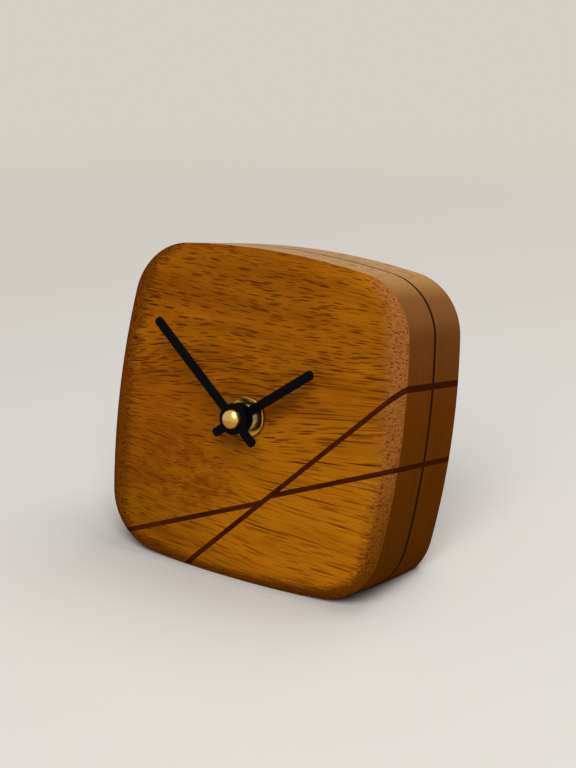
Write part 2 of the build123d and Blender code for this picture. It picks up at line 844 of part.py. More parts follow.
# Front shell: the plate behind the pocket's floor, with posts and seats for the wheels
with BuildPart() as front_shell:
    with BuildSketch(within(case_split)):
        case_sketch(0)
    extrude(amount=case_split)
    with BuildSketch(within(case_split)):
        case_sketch(case_wall)
    extrude(amount=case_split - front_plate, mode=Mode.SUBTRACT)
    with BuildSketch(within(front_plate)):
        with Locations((0, tray_top)):
            tray_height = tray_top - case_foot - case_wall
            Rectangle(2 * inner_half, tray_height, align=(Align.CENTER, Align.MAX))
    extrude(amount=front_plate - tray_floor, mode=Mode.SUBTRACT)
    with BuildSketch(within(case_split)):
        tray_wall_sketch()
    extrude(amount=case_split - front_plate)
    with BuildSketch(within(bridge_level)):
        post_sketch()
    extrude(amount=bridge_level - front_plate)
    seats = (
        (third_axis, centre_level - pinion_overhang - layer_gap),
        (setting_axis, setting_seat),
        (motion_axis, hour_level - pinion_overhang),
    )
    for place, seat_level in seats:
        with BuildSketch(within(seat_level)):
            with Locations(place):
                Rectangle(seat_width, seat_width)
        extrude(amount=seat_level - front_plate)
    rod(third_axis, pivot_radius + running_clearance, motion_level, centre_level, Mode.SUBTRACT)
    rod(setting_axis, setting_arbor_radius + running_clearance, front_plate, setting_seat, Mode.SUBTRACT)
    rod(motion_axis, pivot_radius, front_plate, motion_level + wheel_thickness)
    rod(shaft, bush_radius + fixed_clearance, 0, front_plate, Mode.SUBTRACT)
    rod(shaft, bush_flange_radius + fixed_clearance, front_plate - bush_flange, front_plate, Mode.SUBTRACT)
    for x, y in hook_places:
        with BuildSketch(within(hook_end)):
            with Locations((x, y)):
                Rectangle(hook_thickness, hook_width)
        extrude(amount=hook_end - front_plate)
        outward = math.copysign(hook_thickness / 2 + hook_barb / 2, x)
        with BuildSketch(within(hook_end)):
            with Locations((x + outward, y)):
                Rectangle(hook_barb, hook_width)
        extrude(amount=hook_barb)
save(front_shell, "movement_front_shell")

# Rear shell: an open battery tray below, and the seats of the rear pivots above
with BuildPart() as rear_shell:
    with BuildSketch(within(case_depth)):
        case_sketch(0)
    extrude(amount=case_depth - case_split)
    with BuildSketch(within(case_back)):
        case_sketch(case_wall)
    extrude(amount=case_back - case_split, mode=Mode.SUBTRACT)
    with BuildSketch(within(case_depth)):
        case_sketch(case_wall)
        with Locations((0, tray_top)):
            Rectangle(reach, reach, align=(Align.CENTER, Align.MAX), mode=Mode.INTERSECT)
    extrude(amount=case_wall, mode=Mode.SUBTRACT)
    with BuildSketch(within(case_back)):
        tray_wall_sketch()
    extrude(amount=case_back - case_split)
    with BuildSketch(within(case_back)):
        post_sketch()
    extrude(amount=case_back - bridge_back)
    bosses = (
        (shaft, magnet_level),
        (intermediate_axis, magnet_level),
        (rotor_axis, magnet_back + layer_gap),
    )
    for place, boss_level in bosses:
        with BuildSketch(within(case_back)):
            with Locations(place):
                Rectangle(pivot_boss_width, pivot_boss_width)
        extrude(amount=case_back - boss_level)
        rod(place, pivot_radius + running_clearance, boss_level, case_back, Mode.SUBTRACT)
    rod(setting_axis, setting_arbor_radius + running_clearance, case_back, case_depth, Mode.SUBTRACT)
    for x, y in hook_places:
        outward = math.copysign(hook_thickness / 2, x)
        with BuildSketch(within(hook_end + running_clearance)):
            with Locations((x + outward, y)):
                Rectangle(2 * case_wall, hook_width + 2 * running_clearance)
        extrude(amount=hook_barb + 2 * running_clearance, mode=Mode.SUBTRACT)
save(rear_shell, "movement_rear_shell")

# Bridge between the two parts of the train, on the front shell's posts
bridge_half = post_across + post_width / 2
with BuildPart() as bridge:
    with BuildSketch(within(bridge_back)):
        with Locations((0, (post_low + post_high) / 2)):
            Rectangle(2 * bridge_half, post_high - post_low + post_width)
        seconds_pinion_tip = third_module * (seconds_pinion_teeth / 2 + pinion_rise_share)
        Circle(seconds_pinion_tip + gear_clearance, mode=Mode.SUBTRACT)
        with Locations(third_axis, intermediate_axis, rotor_axis):
            Circle(pivot_radius + running_clearance, mode=Mode.SUBTRACT)
        with Locations(setting_axis):
            Circle(setting_arbor_radius + running_clearance, mode=Mode.SUBTRACT)
    extrude(amount=bridge_thickness)
    with BuildSketch(within(stator_level)):
        with Locations((core_left[0], post_high), (core_right[0], post_high)):
            Rectangle(stator_pin_width, stator_pin_width)
    extrude(amount=stator_level - bridge_back)
save(bridge, "train_bridge")
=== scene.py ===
"""A desk clock with a sawn and inlaid wooden body, dressed on its CAD frame."""
import json
import math

import bmesh
import bpy
from bpy.props import FloatProperty, FloatVectorProperty, IntProperty, PointerProperty
from bpy.types import Operator, Panel, PropertyGroup
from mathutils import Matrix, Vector


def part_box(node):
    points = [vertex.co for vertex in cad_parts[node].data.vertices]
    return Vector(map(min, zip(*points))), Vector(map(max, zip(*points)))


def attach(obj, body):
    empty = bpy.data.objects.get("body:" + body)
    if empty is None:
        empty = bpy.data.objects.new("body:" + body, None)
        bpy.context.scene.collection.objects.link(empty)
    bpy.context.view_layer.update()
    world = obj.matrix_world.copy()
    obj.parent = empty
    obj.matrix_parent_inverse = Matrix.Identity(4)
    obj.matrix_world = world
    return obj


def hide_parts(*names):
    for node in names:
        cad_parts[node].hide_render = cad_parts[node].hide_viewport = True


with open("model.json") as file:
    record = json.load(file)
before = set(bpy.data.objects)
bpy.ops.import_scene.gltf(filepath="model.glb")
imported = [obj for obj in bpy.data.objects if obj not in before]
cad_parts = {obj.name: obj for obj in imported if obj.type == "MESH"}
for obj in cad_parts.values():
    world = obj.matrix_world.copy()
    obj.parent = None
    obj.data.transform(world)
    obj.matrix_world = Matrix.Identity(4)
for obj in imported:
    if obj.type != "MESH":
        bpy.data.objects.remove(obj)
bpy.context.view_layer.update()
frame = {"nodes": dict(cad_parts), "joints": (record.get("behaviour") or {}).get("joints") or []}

bl_info = {
    "name": "Desk clock",
    "version": (1, 0, 0),
    "blender": (4, 5, 0),
    "location": "View3D > Sidebar > Clock",
    "description": "Dresses the desk clock in wood, brass and plastic, and sets its stage",
    "category": "Object",
}

MM = 0.001
WELD = 1e-6
SAME_HEIGHT = 0.01 * MM
FLAT_ANGLE = math.radians(0.5)
EASED_ANGLE = math.radians(30)
SMOOTH_ANGLE = math.radians(32)
FACETS = 96
PANEL_FACETS = 128
QUARTERS = ("upper", "left", "right", "lower")
BOARD_SEEDS = {"front": 0.0, "back": 37.0}

# The clock's own frame: right, up the face and into the wood, from where the shaft meets the face
TURN = next(joint for joint in frame["joints"] if joint["name"] == "minute_turn")
RIGHT = Vector((1, 0, 0))
INWARD = Vector(TURN["axis"]).normalized()
OUTWARD = -INWARD
RISE = RIGHT.cross(INWARD)
ON_SHAFT = Vector(TURN["pos_m"])


def offsets(node, start):
    """Where a node's points lie, from a start."""
    return [vertex.co - start for vertex in frame["nodes"][node].data.vertices]


def reach(node, direction, start):
    """Lowest and highest distance of a node's points from a start along a direction."""
    distances = [offset.dot(direction) for offset in offsets(node, start)]
    return min(distances), max(distances)


SHAFT = ON_SHAFT + INWARD * reach("mounting_nut", INWARD, ON_SHAFT)[1]
SEAM = reach("seam_veneer_upper", INWARD, SHAFT)


def square_to(axis, offset):
    """The part of an offset that lies square to an axis."""
    return offset - axis * offset.dot(axis)


def turned_radius(node, centre=SHAFT, height=None):
    """Largest distance of a node's points from a line along the shaft, at all heights or at one."""
    found = offsets(node, centre)
    if height is not None:
        found = [offset for offset in found if abs(offset.dot(OUTWARD) - height) < SAME_HEIGHT]
    return max(square_to(INWARD, offset).length for offset in found)


def middle(node):
    """Middle of a node's box."""
    low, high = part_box(node)
    return (low + high) / 2


def tone(label, text, default):
    """A colour that a user can change."""
    return FloatVectorProperty(
        name=label, description=text, default=default, size=3, min=0, max=1, subtype="COLOR"
    )


def length(label, text, default):
    """A length in metres that a user can change."""
    return FloatProperty(
        name=label, description=text, default=default, min=0, precision=5, unit="LENGTH", subtype="DISTANCE"
    )


def share(label, text, default):
    """A part of a whole that a user can change."""
    return FloatProperty(name=label, description=text, default=default, min=0, max=1, subtype="FACTOR")


def power(label, text, default):
    """Power of a light that a user can change."""
    return FloatProperty(name=label, description=text, default=default, min=0, unit="POWER")


def bearing(label, text, default):
    """An angle that a user can change."""
    return FloatProperty(name=label, description=text, default=default, unit="ROTATION")


def spot(label, text, default):
    """A place that a user can change."""
    return FloatVectorProperty(
        name=label, description=text, default=default, size=3, precision=5, unit="LENGTH",
        subtype="TRANSLATION",
    )


class ClockWood(PropertyGroup):
    """Colours and grain of the wooden body."""

    gold: tone("Gold", "Pale wood between the growth bands", (0.35, 0.115, 0.003))
    brown: tone("Brown", "Darker wood of the growth bands", (0.20, 0.051, 0.002))
    pore: tone("Pore", "Inside of the pores", (0.052, 0.0055, 0.0005))
    # The two end grain colours below are lit and shaded copies of one end grain: painted light on the right,
    # painted shade on the left and below.
    end: tone("End grain", "Rounded edge on the right, with fibres cut across", (0.30, 0.107, 0.027))
    shaded_end_grain: tone("Dark end grain", "Rounded edge on the left and below", (0.138, 0.036, 0.002))
    # The side colour is darker than the face as painted shade; the burnish shows only as fewer open pores.
    side: tone("Side", "Burnished side", (0.130, 0.032, 0.002))
    # The top's pale colour is a painted sheen: the bright background mirrored at a grazing angle.
    top: tone("Top", "Waxed top, paler from the sun", (0.38, 0.180, 0.024))
    # The corner colour is a painted sheen and painted light, stepping from the lit top to the shaded side.
    corner: tone("Corner", "Upper corners, between the top and a side", (0.22, 0.095, 0.029))
    strip: tone("Strip", "Inlaid strips", (0.050, 0.010, 0.002))
    veneer: tone("Veneer", "Veneer in the seam", (0.022, 0.007, 0.002))
    pore_length: length("Pore length", "Spacing of the pores along the grain", 6.2 * MM)
    pore_pitch: length("Pore pitch", "Spacing of the pores across the grain", 0.46 * MM)
    gloss: share("Gloss", "Strength of the oil finish", 0.0)


class ClockFittings(PropertyGroup):
    """Colours and details of the hands and the turned brass."""

    black: tone("Hands", "Lacquer of the hands", (0.002, 0.002, 0.002))
    brass: tone("Brass", "Polished brass", (0.82, 0.55, 0.16))
    # The nut colour is brass darkened as painted shade and painted dark reflection. The bush colour is dull
    # brass, darkened further by the same painted shade.
    shaded_nut_brass: tone("Nut", "Browner brass of the mounting nut", (0.492, 0.308, 0.0576))
    dull_shaded_bush_brass: tone("Bush", "Dull brass of the threaded bush", (0.3444, 0.2585, 0.1056))
    hand_edge: length("Hand edge", "Width of the eased edge of a hand", 0.12 * MM)
    bush_bore: length("Bush bore", "Radius of the hole through the bush", 2.56 * MM)
    bush_flange: length("Bush flange", "Thickness of the bush's flange", 0.7 * MM)
    thread_pitch: length("Thread pitch", "Distance between turns of the bush's thread", 0.75 * MM)
    thread_depth: length("Thread depth", "Depth of the bush's thread", 0.36 * MM)
    segments: IntProperty(
        name="Segments", description="Facets round a turned piece", default=FACETS, min=24, max=256
    )


class ClockMovement(PropertyGroup):
    """Colours and details of the movement and its cell."""

    case: tone("Case", "Moulded case", (0.028, 0.028, 0.030))
    rubber: tone("Washer", "Rubber of the washer", (0.018, 0.018, 0.018))
    wheel: tone("Wheels", "Moulded wheels", (0.74, 0.73, 0.68))
    bridge: tone("Bridge", "Moulded bridge and bobbin", (0.42, 0.43, 0.44))
    steel: tone("Steel", "Arbors and clutch", (0.56, 0.57, 0.58))
    iron: tone("Iron", "Stator and core of the coil", (0.36, 0.36, 0.37))
    magnet: tone("Magnet", "Magnet of the rotor", (0.20, 0.20, 0.21))
    copper: tone("Copper", "Wire of the coil", (0.60, 0.20, 0.07))
    resin: tone("Circuit board", "Lacquered board", (0.020, 0.120, 0.050))
    chip: tone("Chip", "Resin over the chip", (0.012, 0.012, 0.013))
    can: tone("Crystal", "Can of the quartz crystal", (0.66, 0.65, 0.62))
    nickel: tone("Nickel", "Contacts and bare ends of the cell", (0.66, 0.63, 0.57))
    sleeve: tone("Sleeve", "Main part of the cell's sleeve", (0.030, 0.055, 0.085))
    band: tone("Band", "Band at the cell's positive end", (0.50, 0.50, 0.48))
    knob_edge: length("Knob edge", "Width of the setting knob's eased edges", 0.25 * MM)
    mark_height: length("Mark height", "Height of the moulded marks", 0.2 * MM)


class ClockStage(PropertyGroup):
    """Floor, light and camera."""

    floor: tone("Floor", "Plain floor", (0.60, 0.58, 0.54))
    wall: tone("Background", "What shows behind the clock", (0.66, 0.62, 0.545))
    floor_radius: length("Floor radius", "Reach of the floor", 4.0)
    ambient: share("Ambient", "Level of the light from all round", 0.16)
    key: power("Key", "Power of the main light", 19)
    key_place: spot("Key place", "Place of the main light", (0.40, -0.84, 1.15))
    key_size: length("Key size", "Width of the main light", 0.9)
    fill: power("Fill", "Power of the weak light", 9)
    fill_place: spot("Fill place", "Place of the weak light", (0.2, 0.5, 1.2))
    fill_size: length("Fill size", "Width of the weak light", 0.8)
    camera_place: spot("Camera", "Place of the camera", (0.26943, -0.41663, 0.23970))
    camera_yaw: bearing("Yaw", "Turn of the camera about the upright", 0.561)
    camera_pitch: bearing("Pitch", "Angle at which the camera looks down", 0.354)
    camera_lens: FloatProperty(
        name="Lens", description="Focal length in millimetres", default=82.4, min=1, unit="CAMERA"
    )


class Field:
    """A value that varies over a surface. Arithmetic on fields adds Math nodes."""

    def __init__(self, nodes, socket):
        self.nodes = nodes
        self.socket = socket

    def math(self, operation, *values):
        """What a Math node makes of some values."""
        return self.nodes.node("ShaderNodeMath", {"operation": operation}, dict(enumerate(values)))

    def __add__(self, other):
        return self.math("ADD", self, other)

    def __radd__(self, other):
        return self.math("ADD", other, self)

    def __sub__(self, other):
        return self.math("SUBTRACT", self, other)

    def __rsub__(self, other):
        return self.math("SUBTRACT", other, self)

    def __mul__(self, other):
        return self.math("MULTIPLY", self, other)

    def __rmul__(self, other):
        return self.math("MULTIPLY", other, self)

    def __truediv__(self, other):
        return self.math("DIVIDE", self, other)

    def __rtruediv__(self, other):
        return self.math("DIVIDE", other, self)

    def __abs__(self):
        return self.math("ABSOLUTE", self)

    def root(self):
        """The square root."""
        return self.math("SQRT", self)

    def least(self, other):
        """The smaller of two values."""
        return self.math("MINIMUM", self, other)

    def most(self, other):
        """The larger of two values."""
        return self.math("MAXIMUM", self, other)

    def rising(self, low, high):
        """A smooth step from 0 at low to 1 at high."""
        values = {"Value": self, "From Min": low, "From Max": high}
        return self.nodes.node("ShaderNodeMapRange", {"interpolation_type": "SMOOTHSTEP"}, values)

    def falling(self, low, high):
        """A smooth step from 1 at low to 0 at high."""
        return 1 - self.rising(low, high)

    def output(self, name):
        """Another output of the node that made this field."""
        return Field(self.nodes, self.socket.node.outputs[name])


class Nodes:
    """A node tree that starts empty, and ways to add to it."""

    # Colour sockets of a Mix node, whose names repeat
    MIX_FIRST = 6
    MIX_SECOND = 7
    MIX_RESULT = 2

    def __init__(self, tree):
        self.tree = tree
        tree.nodes.clear()

    def node(self, kind, settings=None, values=None, output=0):
        """Adds a node, with its settings first and then its socket values and links."""
        node = self.tree.nodes.new(kind)
        for name, value in (settings or {}).items():
            setattr(node, name, value)
        for key, value in (values or {}).items():
            self.feed(node.inputs[key], value)
        return Field(self, node.outputs[output]) if node.outputs else None

    def feed(self, socket, value):
        """Sets a socket to a plain value or links a field to it."""
        if isinstance(value, Field):
            self.tree.links.new(value.socket, socket)
        elif socket.type == "RGBA":
            socket.default_value = (*value, 1)
        else:
            socket.default_value = value

    def vector(self, *parts):
        """A vector from its three parts."""
        return self.node("ShaderNodeCombineXYZ", None, dict(enumerate(parts)))

    def dot(self, vector, direction):
        """How far a vector reaches along a direction."""
        values = {0: vector, 1: direction}
        return self.node("ShaderNodeVectorMath", {"operation": "DOT_PRODUCT"}, values, "Value")

    def noise(self, place, scale=1.0, detail=2.0):
        """Soft noise about one half."""
        return self.node("ShaderNodeTexNoise", None, {"Vector": place, "Scale": scale, "Detail": detail})

    def mix(self, factor, first, second):
        """A colour between two, by a factor."""
        values = {0: factor, self.MIX_FIRST: first, self.MIX_SECOND: second}
        return self.node("ShaderNodeMix", {"data_type": "RGBA"}, values, self.MIX_RESULT)

    def scale(self, colour, factor):
        """A colour made darker or lighter by a factor."""
        return self.node("ShaderNodeVectorMath", {"operation": "SCALE"}, {0: colour, "Scale": factor})

    def bump(self, height, distance, strength):
        """A normal for a relief whose height runs from 0 to 1 over a distance."""
        values = {"Strength": strength, "Distance": distance, "Height": height}
        return self.node("ShaderNodeBump", None, values)

    def place(self):
        """A point of the piece, in metres."""
        return self.node("ShaderNodeTexCoord", output="Object")

    def along(self, direction, start=SHAFT):
        """Distance from a start along a direction, in millimetres."""
        offset = self.node("ShaderNodeVectorMath", {"operation": "SUBTRACT"}, {0: self.place(), 1: start})
        return self.dot(offset, direction / MM)

    def facing(self, direction):
        """How far the surface faces along a direction, from -1 to 1."""
        return self.dot(self.node("ShaderNodeNewGeometry", output="Normal"), direction)

    def looked_at(self):
        """1 for what is seen or mirrored, and 0 for light that reaches a surface another way."""
        straight = self.node("ShaderNodeLightPath", output="Is Camera Ray")
        return straight.most(straight.output("Is Glossy Ray"))


class Finish(Nodes):
    """A material with one shader and the nodes that feed it."""

    def __init__(self, name):
        self.material = bpy.data.materials.new(name)
        self.material.use_nodes = True
        super().__init__(self.material.node_tree)
        self.lit = self.node("ShaderNodeBsdfPrincipled")

    def set(self, **values):
        """Feeds sockets of the shader, named with an underline for each blank."""
        sockets = self.lit.socket.node.inputs
        for name, value in values.items():
            self.feed(sockets[name.replace("_", " ")], value)

    def done(self, shown=None):
        """The material, with its shader on the surface or another one in its place."""
        self.node("ShaderNodeOutputMaterial", None, {"Surface": shown or self.lit})
        return self.material


class WoodFinish(Finish):
    """Oiled wood whose fibres run to the right, with a bend in the middle and a swirl at the lower left.

    Places to the right, up and inwards are in millimetres from the shaft.
    """

    # A pore has a length along the fibres and a pitch across them
    ARCH_RISE = 8
    DIP_RISE = -34
    BEND_REACH = 26
    SWIRL_PLACE = (-20, -22.5)
    SWIRL_REACH = (19, 14)
    EDGE_RIGHT = 45.2
    EDGE_BOW = 0.0026
    EDGE_DEPTH = (2.9, 3.5)
    LONG_PORE = (42, 0.64)
    CUT_PORE = (1.7, 0.62)

    def __init__(self, name, wood, seed):
        super().__init__(name)
        self.wood = wood
        self.seed = seed
        self.right = self.along(RIGHT)
        self.rise = self.along(RISE)
        self.deep = self.along(INWARD)
        self.low_right = self.right * 0.7 - self.rise
        self.lay_fibres()
        self.fibres = self.grain(0.06, 3.0)
        self.patches = self.grain(0.05, 0.09, seed)
        self.sideways = abs(self.facing(RIGHT))
        self.upwards = self.facing(RISE)
        self.behind_edge = self.deep.rising(*self.EDGE_DEPTH)

    def lay_fibres(self):
        """Sets how far a point lies across the fibres and into the wood."""
        arch = abs(self.rise - self.ARCH_RISE).falling(0, self.BEND_REACH)
        dip = abs(self.rise - self.DIP_RISE).falling(0, self.BEND_REACH)
        bend = 0.15 * arch - 0.07 * dip
        place = self.vector(self.right * 0.018, self.rise * 0.05, self.deep * 0.05 + self.seed)
        wander = self.noise(place, detail=0.8) - 0.5
        swirl_right = (self.right - self.SWIRL_PLACE[0]) / self.SWIRL_REACH[0]
        swirl_rise = (self.rise - self.SWIRL_PLACE[1]) / self.SWIRL_REACH[1]
        self.swirl = (swirl_right * swirl_right + swirl_rise * swirl_rise).falling(0.05, 1.15)
        self.across = self.rise - self.right * bend + 7 * wander + 1.9 * self.swirl
        self.inside = self.deep + 4 * wander + self.seed

    def grain(self, along, across, shift=0.0, detail=2.0):
        """Noise with one rate along the fibres and another across them."""
        place = self.vector(self.right * along, self.across * across, self.inside * across + shift)
        return self.noise(place, detail=detail)

    def pores(self, along, pitch, size, part):
        """Cut vessels: pointed dashes of which only some are open, from 0 to 1."""
        place = self.vector(along, self.across / pitch, self.inside / pitch)
        distance = self.node("ShaderNodeTexVoronoi", None, {"Vector": place, "Scale": 1.0}, "Distance")
        chance = self.node("ShaderNodeSeparateColor", None, {"Color": distance.output("Color")}, "Red")
        depth = chance.output("Green").rising(0.3, 0.7)
        open_ones = chance.falling(part - 0.05, part + 0.05)
        return distance.falling(size * 0.62, size) * open_ones * (0.35 + 0.65 * depth)

    def dashes(self):
        """Pores of the face: short ones all over, and long ones in the middle and at the lower right."""
        drawn_out = self.low_right.rising(-2, 34)
        crowd = self.grain(0.05, 0.12, 2 * self.seed)
        stretch = (1 + 0.8 * self.swirl) * (1 - 0.45 * drawn_out)
        run = self.right / (self.wood.pore_length / MM) * stretch
        short = self.pores(run, self.wood.pore_pitch / MM, size=0.46, part=0.92)
        short = short * (0.82 + 0.18 * crowd.rising(0.38, 0.56))
        short = short * (1 - 0.12 * self.swirl) * (1 - 0.35 * drawn_out)
        long_part = (abs(self.rise - 12).falling(4, 15) + drawn_out).least(1) * (1 - self.swirl)
        long_length, long_pitch = self.LONG_PORE
        long = self.pores(self.right / long_length + self.seed, long_pitch, size=0.34, part=0.90)
        return (short + long * (0.10 + 0.85 * long_part)).least(1)

    def face_colour(self):
        """Growth bands of the face, darker in the swirl and paler at the lower right."""
        right = self.right
        rise = self.rise
        bands = self.grain(0.012, 0.17, detail=3)
        curl = self.grain(0.22, 0.30, self.seed, detail=3)
        lower_right = (right * 0.010 - rise * 0.012 + 1.6 * self.patches - 0.55).rising(-0.35, 0.85)
        middle_band = abs(rise - 3 - 0.1 * right).falling(3, 17)
        shade = 0.22 + bands.rising(0.36, 0.64) * 0.35 + lower_right * 0.55 - 0.22 * middle_band
        shade = (shade - self.swirl * (0.15 + 0.45 * curl.falling(0.36, 0.62))).most(0).least(1)
        colour = self.mix(shade, self.wood.brown, self.wood.gold)
        darker = 0.28 * (0.7 * right + rise).falling(-62, -28) + 0.14 * (rise - 0.3 * right).rising(32, 46)
        lighter = right.falling(-40, 5) * rise.rising(-20, 0) + self.low_right.rising(20, 50)
        return self.scale(colour, (0.70 + 0.60 * self.fibres) * (1 - darker + 0.12 * lighter))

    def rounded_edge(self, downwards):
        """Where the face rounds over to the sides and below, with a torn border, from 0 to 1."""
        torn = self.grain(0.22, 2.0, detail=3) - 0.5
        turning = (self.sideways.most(downwards) + 0.6 * torn).rising(0.05, 0.48)
        over_edge = abs(self.right) + self.EDGE_BOW * self.rise * self.rise - self.EDGE_RIGHT
        over_edge = over_edge - 1.2 * self.rise.falling(-30, 15) * self.right.rising(0, 20)
        over_edge = over_edge + 0.9 * self.right.falling(-20, 0)
        return turning.most((over_edge + 10 * torn).rising(-2.6, 2.0)) * (1 - self.behind_edge)

    def end_colour(self, downwards):
        """Speckled end grain of the rounded edge, with painted light on the right and painted shade on the
        left, below, towards the bottom and at the low right corner.
        """
        # Painted light on the right of the edge, fading to painted shade facing down and towards the bottom.
        lit_end = self.right.rising(-15, 30) * downwards.falling(0.0, 0.4)
        lit_end = lit_end * (0.15 + 0.85 * self.rise.rising(-40, 32))
        speckle = self.grain(0.8, 2.6, detail=3).rising(0.3, 0.7)
        # Painted shade at the low right corner, which faces down and away from the light.
        painted_low_corner_shade = self.low_right.rising(40, 64)
        colour = self.mix(lit_end, self.wood.shaded_end_grain, self.wood.end)
        return self.scale(colour, (0.72 + 0.56 * speckle) * (1 - 0.3 * painted_low_corner_shade))

    def outer_colour(self, colour, side, upward):
        """Lays the sides with their painted shade, darker towards the bottom, the painted sheen of the upper
        corners and of the waxed top, and the glue line over a colour.
        """
        place = self.vector(self.right * 0.05, self.rise * 0.025, self.deep * 0.8 + self.seed)
        layers = self.noise(place, detail=3)
        # Painted shade on the sides: darker towards the bottom, with random layers.
        painted_side_shade = (0.55 + 0.5 * self.rise.rising(-46, 36)) * (0.78 + 0.44 * layers)
        colour = self.mix(side * 0.9, colour, self.scale(self.wood.side, painted_side_shade))
        # Painted sheen on the upper corners, where the top turns into a side.
        painted_corner_sheen = self.upwards.rising(0.05, 0.5) * side
        colour = self.mix(painted_corner_sheen * 0.55, colour, self.wood.corner)
        # Painted sheen on the top: the pale background mirrored at a grazing angle.
        colour = self.mix(upward * 0.86, colour, self.scale(self.wood.top, 0.8 + 0.4 * self.fibres))
        seam_middle = sum(SEAM) / 2 / MM
        seam_half = (SEAM[1] - SEAM[0]) / 2 / MM
        glue_line = (abs(self.deep - seam_middle) - seam_half).falling(-0.1, 0.45)
        return self.mix(glue_line, colour, self.wood.veneer)

    def paint(self):
        """The material, with the colours, pores and polish of all sides."""
        downwards = self.facing(-RISE)
        rounding = self.rounded_edge(downwards)
        left_rim = 4 * rounding * (1 - rounding) * self.right.falling(-30, -12)
        side = self.sideways.rising(0.15, 0.6) * self.behind_edge
        # upward marks the top, for its painted sheen and its coat.
        upward = self.upwards.rising(0.64, 1.06) * self.behind_edge
        colour = self.mix(rounding * 0.85, self.face_colour(), self.end_colour(downwards))
        # Painted shade along the left rim, where the rounding turns from the light; the same mask also holds
        # its end grain pores.
        colour = self.outer_colour(self.scale(colour, 1 - 0.22 * left_rim), side, upward)

        cut_length, cut_pitch = self.CUT_PORE
        dots = self.pores(self.right / cut_length, cut_pitch, size=0.50, part=0.80)
        dots = dots * (0.8 * rounding + left_rim).least(1)
        dashes = self.dashes() * (1 - 0.6 * rounding)
        open_pores = dashes.most(dots) * (1 - 0.85 * side)
        polish = (0.98 * upward + 0.30 * side * self.rise.rising(4, 38)).least(1)
        relief = 0.5 * (1 - open_pores) + 0.12 * self.fibres
        self.set(
            Base_Color=self.mix(open_pores * 0.92, colour, self.wood.pore),
            Roughness=0.38 + 0.14 * (self.patches - 0.5) + 0.2 * open_pores,
            Specular_IOR_Level=self.wood.gloss,
            Coat_Weight=polish * (1 - 0.5 * open_pores),
            Coat_IOR=1.17,
            Coat_Roughness=0.32,
            Normal=self.bump(relief, 0.25 * MM, 0.35),
        )
        return self.done()


def shaded(colour, factor):
    """A plain colour made darker or lighter by a factor."""
    return [factor * part for part in colour]


def strip_finish(name, wood, direction, colour):
    """Dark straight-grained wood whose fibres run along a direction."""
    finish = Finish(name)
    cross = direction.cross(INWARD)
    place = finish.vector(finish.along(direction) * 0.06, finish.along(cross) * 4, finish.along(INWARD) * 4)
    streaks = finish.noise(place, detail=3)
    finish.set(
        Base_Color=finish.mix(streaks.rising(0.3, 0.75), shaded(colour, 0.45), shaded(colour, 1.5)),
        Roughness=0.40 + 0.16 * streaks,
        Specular_IOR_Level=wood.gloss,
        Normal=finish.bump(streaks, 0.06 * MM, 0.4),
    )
    return finish.done()


def metal_finish(name, colour, roughness, rings=0.0, painted_reflection=0.0):
    """Turned or drawn metal with a faint tarnish and tool rings about the shaft, and a painted brown
    reflection on its lower half where one is given.
    """
    finish = Finish(name)
    right = finish.along(RIGHT)
    rise = finish.along(RISE)
    deep = finish.along(INWARD)
    radius = (right * right + rise * rise).root()
    tool = finish.noise(finish.vector(radius * 9, deep * 9, 0.0), detail=1)
    tarnish = finish.noise(finish.vector(right * 0.9, rise * 0.9, deep * 0.9))
    tint = finish.mix(tarnish.rising(0.35, 0.8) * 0.35, colour, shaded(colour, 0.72))
    # Painted reflection: the lower half turns browner, as if it mirrored a brown table.
    if painted_reflection:
        below = finish.facing(-RISE).rising(-0.02, 0.16)
        painted_brown_reflection = [fade * part for fade, part in zip((0.62, 0.42, 0.12), colour)]
        tint = finish.mix(painted_reflection * below, tint, painted_brown_reflection)
    finish.set(
        Base_Color=tint,
        Metallic=1.0,
        Roughness=roughness + 0.08 * (tarnish - 0.5) + 0.05 * (tool - 0.5),
        Normal=finish.bump(tool, 0.02 * MM, rings),
    )
    return finish.done()


def moulded_finish(name, colour, roughness, grain=0.02, gloss=0.4):
    """Moulded plastic with a fine spark-eroded texture, whose grain is in millimetres."""
    finish = Finish(name)
    texture = finish.noise(finish.place(), scale=2600.0, detail=1.0)
    cloud = finish.noise(finish.place(), scale=90.0)
    clouded = finish.mix(cloud, colour, shaded(colour, 0.86))
    finish.set(
        Base_Color=finish.scale(clouded, 0.96 + 0.08 * texture),
        Roughness=roughness + 0.10 * (cloud - 0.5),
        Specular_IOR_Level=gloss,
        Normal=finish.bump(texture, grain * MM, 0.5),
    )
    return finish.done()


def winding_finish(name, colour):
    """Enamelled wire wound closely round a core that runs to the right, with painted shade in the grooves
    between the turns.
    """
    finish = Finish(name)
    wire_radius = 0.1
    right = finish.along(RIGHT)
    turns = right.math("PINGPONG", right, wire_radius) / wire_radius
    # Painted shade in the grooves between the turns of wire.
    finish.set(
        Base_Color=finish.mix(turns, shaded(colour, 0.35), colour),
        Metallic=1.0,
        Roughness=0.5 - 0.2 * turns,
        Normal=finish.bump(turns, 0.08 * MM, 0.7),
    )
    return finish.done()


def sleeve_finish(name, movement, centre, half):
    """Printed sleeve with a pale band and a thin line at the positive end."""
    finish = Finish(name)
    band_width = 14
    line_gap = 1.2
    right = finish.along(RIGHT, centre)
    edge = half / MM - band_width
    band = right.rising(edge - 0.1, edge + 0.1)
    line = abs(right - edge + line_gap).falling(0.25, 0.35)
    pale = band.most(line)
    scuff = finish.noise(finish.place(), scale=420.0, detail=3.0)
    finish.set(
        Base_Color=finish.scale(finish.mix(pale, movement.sleeve, movement.band), 0.9 + 0.2 * scuff),
        Roughness=0.26 + 0.16 * scuff,
        Metallic=0.5 * pale,
        Coat_Weight=0.3,
        Coat_Roughness=0.15,
    )
    return finish.done()


